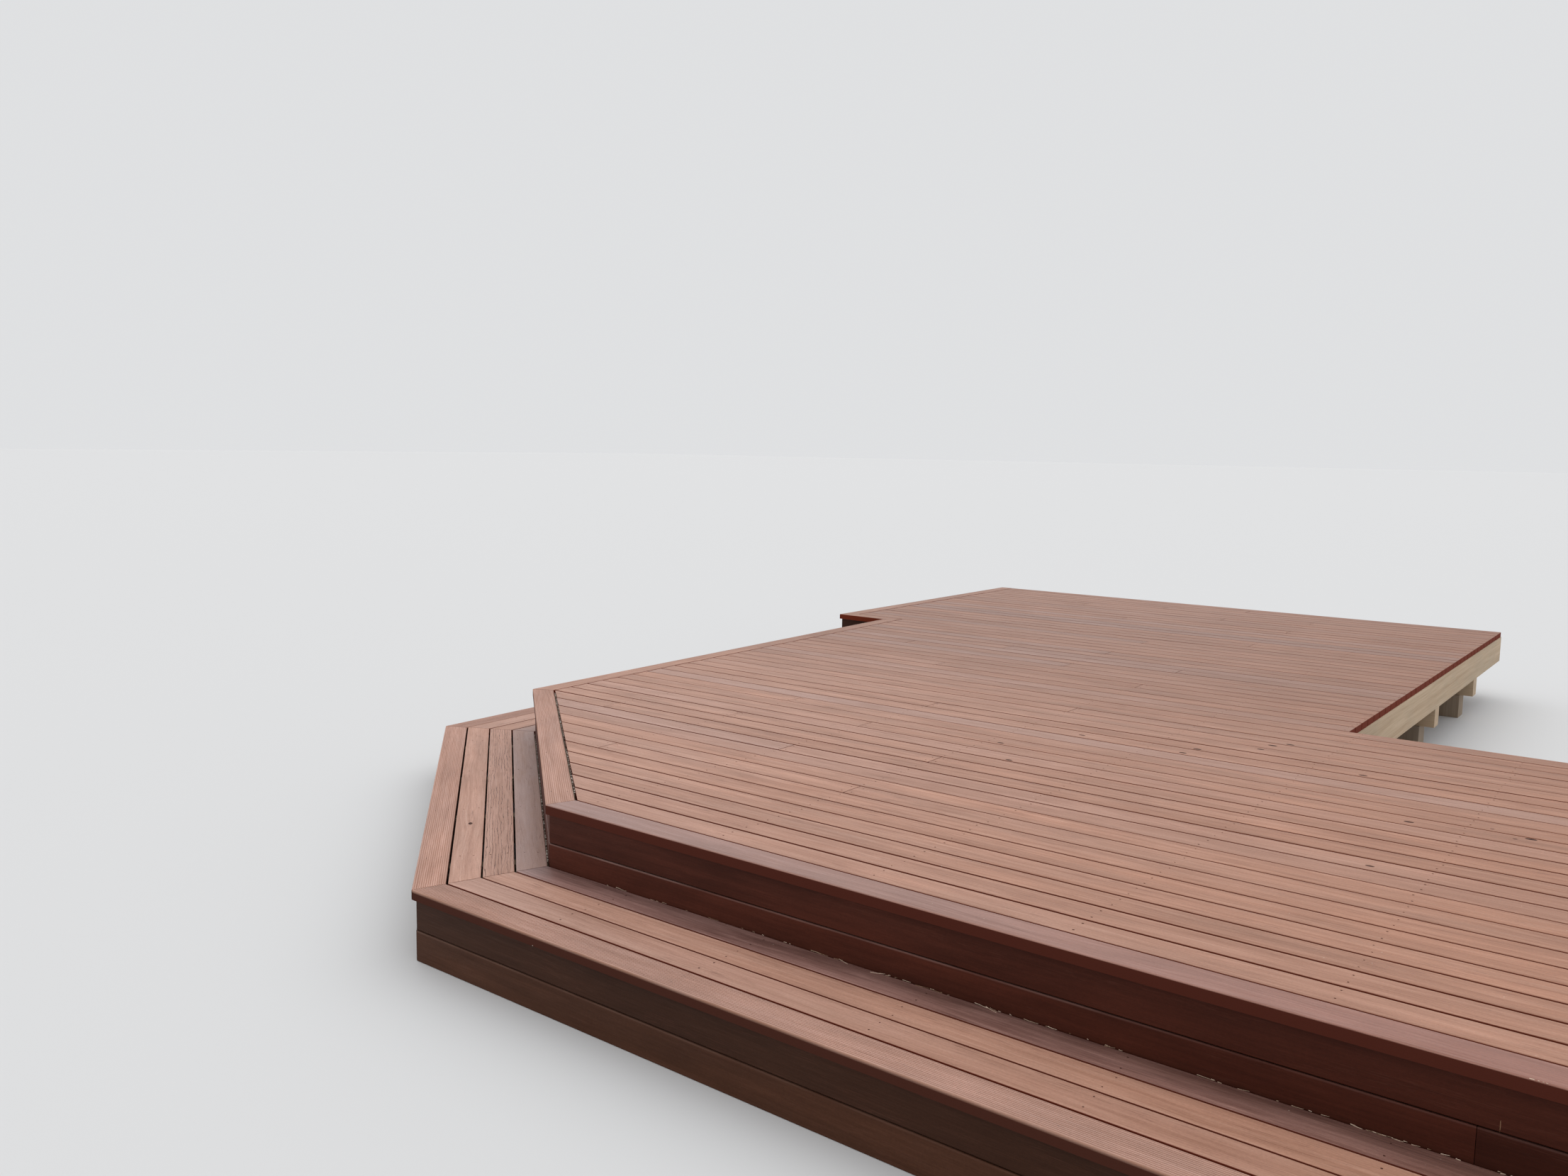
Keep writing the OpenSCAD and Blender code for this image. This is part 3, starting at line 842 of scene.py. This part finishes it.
# %% treads of the step
SLANT_END = CORNER + Vector((-1.315, 1.086, 0))
SLANT_KNOT, SLANT_KNOT_IN = CORNER + Vector((-0.480, 0.122, 0)), 0.045
STARTS = {"front": CORNER, "slant": CORNER, "side": SLANT_END}
STATIONS = {"front": [0.330, 0.800, 1.270, 1.740, 2.210, 2.5175],
            "slant": [0.1325, 0.6127, 1.0928, 1.573],
            "side": [0.1325, 0.6414, 1.1503, 1.6593, 2.1682, 2.677]}
# for each board, from the outer one in: shade, grey, grain and cracks; where the shade is a
# pair, from the outer edge to the inner, the darker inner one is a painted shade under the
# riser
LOOKS = {"front": [(1.09, 0.15, 0.11, 0), (1.14, 0.05, 0.52, 0),
                   ((1.50, 0.88), 0.22, 0.83, 0.2)],
         "slant": [(1.14, 0.05, 0.27, 0), (1.12, 0.12, 0.61, 1.0),
                   ((1.00, 0.90), 0.56, 0.36, 0)],
         "side": [(1.1, 0.1, 0.45, 0), (1.08, 0.0, 0.74, 0.3), ((1.0, 0.8), 0.5, 0.19, 0)]}
TREAD_MOVES = (0.0, 0.0002, 0.0005)


def stations_on(run, board):
    """Where the lines of screws of a run of the step cross one of its boards."""
    sign = 1 if run == "front" else -1
    return [STARTS[run].dot(board.along) + sign * s for s in STATIONS[run]]


for number, run in enumerate(("front", "slant", "side")):
    chance = random.Random(80 + number)
    boards = sorted(boards_of("step_boards_" + run), key=lambda b: b.t0)
    for board in boards:
        ease(board, chance, moves=TREAD_MOVES)
        let_in_pairs(board, stations_on(run, board), chance)
    if run == "slant":
        let_in(boards[0], SLANT_KNOT.dot(boards[0].along), boards[0].t0 + SLANT_KNOT_IN,
               KNOT, 1.1)
    piece_from("step_boards_" + run, slant_decking if run == "slant" else decking, boards,
               LOOKS[run], sheltered_stain if run == "front" else None)

# %% [markdown]
# ### Risers and skirts
# These are boards on edge. Only the two long edges of the outer face are eased. Lower
# boards stand a millimetre or two proud, so their top edge, dusty and with a painted
# highlight, shows as a thin light line. Upper skirt boards are painted darker, a painted
# shade under the nosing, and lower boards of the skirts and the front riser are painted
# lighter, a painted light.
# The operators are the same as for a walked board, with the outer face in place of the top.
# One board of the front riser is in two lengths, and their ends nearly touch.

# %% boards on edge
EDGE_EASED = 0.0018
UPPER_WITHIN = 0.03
JOINT_CLOSED = 0.002
END_LENGTH_LOOK = (0.92, 0.0, 0.4, 0.0)


def ease_outer(board, back):
    for v in board.bm.verts:
        if v.co.dot(board.across) - board.t0 < SIDE_REACH:
            v.co += board.across * back
    board.t0 += back
    board.round_off([e for e in board.bm.edges if board.runs_along(e) and max(
        v.co.dot(board.across) for v in e.verts) < board.t0 + 1e-4], EDGE_EASED)


def face_right(board):
    """Makes the right-hand face the outer one, for boards that close the right end."""
    board.across, board.along = Vector((-1, 0, 0)), Vector((0, 1, 0))
    board.measure()


def painted_light_by_height(name):
    """Painted light on the upper and the lower boards: a painted shade above, under the nosing,
    and a painted light below.
    """
    if name.startswith("step_skirt"):
        return 0.84, 1.3
    return (1.0, 1.15) if name == "riser_front" else (1.0, 1.0)


def close_joint(boards, looks):
    """Draws the right-hand length up to its neighbour, and gives it its own look."""
    end = max(range(len(boards)), key=lambda n: boards[n].s0)
    looks[end] = END_LENGTH_LOOK
    for v in boards[end].bm.verts:
        if v.co.dot(boards[end].along) < boards[end].s0 + SIDE_REACH:
            v.co -= boards[end].along * JOINT_CLOSED


for number, name in enumerate(("riser_front", "riser_slant", "riser_side", "skirt_jog",
                               "skirt_garden", "step_skirt_front", "step_skirt_slant",
                               "step_skirt_side", "skirt_end", "step_skirt_end")):
    chance = random.Random(100 + number)
    boards = sorted(boards_of(name), key=lambda b: -b.middle.z)
    upper = [board.middle.z > boards[0].middle.z - UPPER_WITHIN for board in boards]
    for board, high in zip(boards, upper):
        if name.endswith("_end"):
            face_right(board)
        ease_outer(board, chance.uniform(0.0015, 0.0021) if high else chance.uniform(0, 0.0004))
    # upper boards get a painted shade and lower ones a painted light
    upper_painted_light, lower_painted_light = painted_light_by_height(name)
    looks = [(dark * (upper_painted_light if high else lower_painted_light), *rest) for high, (dark, *rest)
             in zip(upper, chosen_looks(chance, len(boards), 0.04, 0.0))]
    if name == "riser_front":
        close_joint(boards, looks)
    piece_from(name, riser_stain if name.startswith("riser") else skirt_stain, boards,
               looks)

# %% [markdown]
# ### Screws in the reeded boards
# A reeded board can't be cut for a screw without losing its grooves, so each screw there is
# a small flat head that fills the grooves it stands in, just under the tops of the reeds.


# %% loose pieces, and screws between the reeds
def loose_piece(name, bm, finish):
    """Turns a finished bmesh into a piece of its own."""
    mesh = bpy.data.meshes.new(name)
    bm.to_mesh(mesh)
    bm.free()
    mesh.materials.append(finish)
    piece = bpy.data.objects.new(name, mesh)
    bpy.context.collection.objects.link(piece)
    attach(piece, "root")
    print(name, len(mesh.polygons), "faces")


HEAD_UNDER, HEAD_THICK = 0.0016, 0.002
PAIR_SPAN, CLEAR_OF_MITRE = 0.088, 0.09
heads = bmesh.new()
chance = random.Random(150)
for name, run in (("step_nosing_front", "front"), ("step_nosing_slant", "slant"),
                  ("step_nosing_side", "side"), ("deck_border_slant", "slant")):
    board = boards_of(name)[0]
    for s in stations_on(run, board):
        if not board.s0 + CLEAR_OF_MITRE < s < board.s1 - CLEAR_OF_MITRE:
            continue
        for share in (0.25, 0.75):
            spot = (board.along * (s + chance.uniform(-0.004, 0.004))
                    + board.across * (board.t0 + PAIR_SPAN * share)
                    + Vector((0, 0, board.top - HEAD_UNDER)))
            bmesh.ops.create_cone(heads, cap_ends=True, segments=8, radius1=0.0024,
                                  radius2=0.0026, depth=HEAD_THICK,
                                  matrix=Matrix.Translation(spot))
    board.bm.free()
loose_piece("reed_screws", heads, screw_head)

# %% [markdown]
# ### Grit and slivers
# Grit has filled the slots on the slant, and a line of dry slivers lies where the front
# riser meets the tread. Grit is some eight hundred flattened twenty-sided lumps, and each
# has its own tone. A sliver is a thin five-sided cone, cut twice along its length and bent.


# %% grit in the slots
def litter_material(name, dark, pale):
    material, graph, shader = start_material(name)
    own = add(graph, "ShaderNodeAttribute", attribute_name="tone").outputs["Fac"]
    speckle = noise(graph, object_place(graph), (700, 700, 700))
    mixed = plus(graph, own, spread(graph, speckle, 0.3, 0.7, -0.2, 0.2), True)
    graph.links.new(blend_colour(graph, mixed, dark, pale), shader.inputs["Base Color"])
    graph.links.new(spread(graph, speckle, 0.3, 0.7, 0.95, 0.7), shader.inputs["Roughness"])
    shader.inputs["Specular IOR Level"].default_value = 0.2
    bumpy(graph, shader, speckle, 0.5, 0.0008)
    return material


def add_lump(bm, layer, matrix, radius, pale):
    lump = bmesh.ops.create_icosphere(bm, subdivisions=1, radius=radius, matrix=matrix)
    for v in lump["verts"]:
        v[layer] = pale


LUMPS_IN_A_SLOT = 420
LUMP_TONES = (0.0, 0.1, 0.2, 0.3, 0.6, 1.0)
# for each slot: its start and end along the slant, its near and far side, and the grit's top
GRITTY_SLOTS = ((-1.62, -0.12, 0.0870, 0.0905, -0.0022),
                (-1.66, -0.03, 0.0066, 0.0084, -0.1802))
chance = random.Random(170)
slant_along = Vector((0.771, -0.637, 0)).normalized()
slant_across = Vector((0.637, 0.771, 0)).normalized()
grit = bmesh.new()
grit_tone = grit.verts.layers.float.new("tone")
for start, end, near, far, grit_top in GRITTY_SLOTS:
    for _ in range(LUMPS_IN_A_SLOT):
        size = chance.uniform(0.0012, 0.0028)
        spot = (CORNER + slant_along * chance.uniform(start, end)
                + slant_across * chance.uniform(near, far)
                + Vector((0, 0, grit_top - chance.uniform(0, 0.003))))
        flat = Matrix.Diagonal((1, chance.uniform(0.6, 1), chance.uniform(0.4, 0.8), 1))
        turned = Matrix.Translation(spot) @ Matrix.Rotation(chance.uniform(0, 6.3), 4, "Z")
        add_lump(grit, grit_tone, turned @ flat, size, chance.choice(LUMP_TONES))
loose_piece("slot_grit", grit, litter_material(
    "grit", (0.15, 0.085, 0.06), (0.72, 0.66, 0.58)))

# %% slivers at the riser's foot
SLIVERS = 95
SLIVER_LENGTHS = (0.004, 0.006, 0.008, 0.014, 0.022, 0.034)
FIRST_SLIVER, SLIVERS_REACH = 0.12, 2.45
SLIVER_LINE = CORNER.y + 0.0098
slivers = bmesh.new()
sliver_tone = slivers.verts.layers.float.new("tone")
for _ in range(SLIVERS):
    long = chance.choice(SLIVER_LENGTHS)
    x = CORNER.x + FIRST_SLIVER + SLIVERS_REACH * chance.random() ** 0.7
    first = len(slivers.verts)
    cone = bmesh.ops.create_cone(slivers, cap_ends=True, segments=5, radius1=0.0008,
                                 radius2=0.0004, depth=long,
                                 matrix=Matrix.Rotation(math.radians(90), 4, "Y"))["verts"]
    sides = {e for v in cone for e in v.link_edges
             if abs(e.verts[0].co.x - e.verts[1].co.x) > long / 2}
    bmesh.ops.subdivide_edges(slivers, edges=list(sides), cuts=2)
    slivers.verts.ensure_lookup_table()
    rod = slivers.verts[first:]
    bow, turn = chance.uniform(-0.1, 0.1), chance.gauss(0, 0.22)
    pale, front = chance.uniform(0, 1), chance.uniform(0.0015, 0.006)
    for v in rod:
        v.co.y += bow * (long / 2 - v.co.x ** 2 / (long / 2))
    reach = abs(math.sin(turn)) * long / 2 + 0.001 + abs(bow) * long / 2
    lie = Matrix.Translation((x, SLIVER_LINE - max(front, reach), STEP_TOP + 0.0002))
    bmesh.ops.transform(slivers, verts=rod, matrix=lie @ Matrix.Rotation(turn, 4, "Z"))
    for v in rod:
        v[sliver_tone] = pale
print("slivers", SLIVERS)

# %% [markdown]
# Small marks near the right end are part of the deck's wear: four pale chips on the front
# edge, and a faint dried run on the riser below. Each is a flattened lump that stands a
# little out of the surface, and they share the slivers' piece and finish.

# %% chips and a dried run
RISER_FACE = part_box("riser_front")[0].y - CORNER.y + 0.0018
# for each mark: its middle from the front corner, its half size and its tone
MARKS = (((2.4125, 0.0010, -0.0009), (0.0050, 0.0014, 0.0008), 1.0),
         ((2.4222, 0.0008, -0.0008), (0.0018, 0.0010, 0.0007), 0.9),
         ((2.4288, 0.0012, -0.0007), (0.0014, 0.0010, 0.0006), 0.8),
         ((2.4340, 0.0006, -0.0009), (0.0020, 0.0008, 0.0006), 0.8),
         ((2.3723, RISER_FACE, -0.1010), (0.0011, 0.0005, 0.0130), 0.0))
for middle, half, pale in MARKS:
    lump_place = Matrix.Translation(CORNER + Vector(middle)) @ Matrix.Diagonal((*half, 1))
    add_lump(slivers, sliver_tone, lump_place, 1.0, pale)
loose_piece("foot_slivers", slivers, litter_material(
    "dry_slivers", (0.20, 0.11, 0.06), (0.72, 0.55, 0.43)))

# %% [markdown]
# ### Timbers that keep their CAD shape
# Framing is plain sawn timber in reality too, and nearly all of it is hidden, so the CAD
# solids stay and only get a finish. The finish is picked by the direction of the timber,
# and timber that stands on the ground is darker, greyer and rougher.

# %% finishes on CAD nodes
ALONG_X, ALONG_Y = (0, 0, 0), (0, 0, math.radians(-90))
ALONG_SLANT, ALONG_Z = (0, 0, math.radians(39.55)), (0, math.radians(90), 0)
PINE = ((0.42, 0.29, 0.18), (0.56, 0.42, 0.28), (0.38, 0.31, 0.22))
DAMP = ((0.26, 0.19, 0.13), (0.37, 0.28, 0.20), (0.19, 0.16, 0.13))
FRAMING = {"rim_front": ALONG_X, "rim_slant": ALONG_SLANT, "rim_side": ALONG_Y,
           "rim_jog": ALONG_X, "rim_garden": ALONG_Y, "joists_front": ALONG_Y,
           "joists_house": ALONG_Y, "house_ledger": ALONG_X, "wing_ledger": ALONG_X,
           "wing_side_ledger": ALONG_Y, "bearers_front": ALONG_X, "bearers_house": ALONG_X,
           "skirt_cleats": ALONG_Z, "step_rails_front": ALONG_X,
           "step_rails_slant": ALONG_SLANT, "step_rails_side": ALONG_Y,
           "step_cross_pieces": ALONG_Y}
GROUND = {"piles_front": ALONG_Z, "piles_house": ALONG_Z, "step_feet": ALONG_Z}
made = {}
for group, colours, sheen, relief in ((FRAMING, PINE, 0.72, 0.4), (GROUND, DAMP, 0.85, 0.5)):
    for name, turn in group.items():
        key = (colours, turn)
        if key not in made:
            made[key] = timber("timber_%d" % len(made), turn, colours, sheen, relief)
        node_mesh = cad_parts[name].data
        node_mesh.materials.clear()
        node_mesh.materials.append(made[key])
print("timber finishes", len(made))
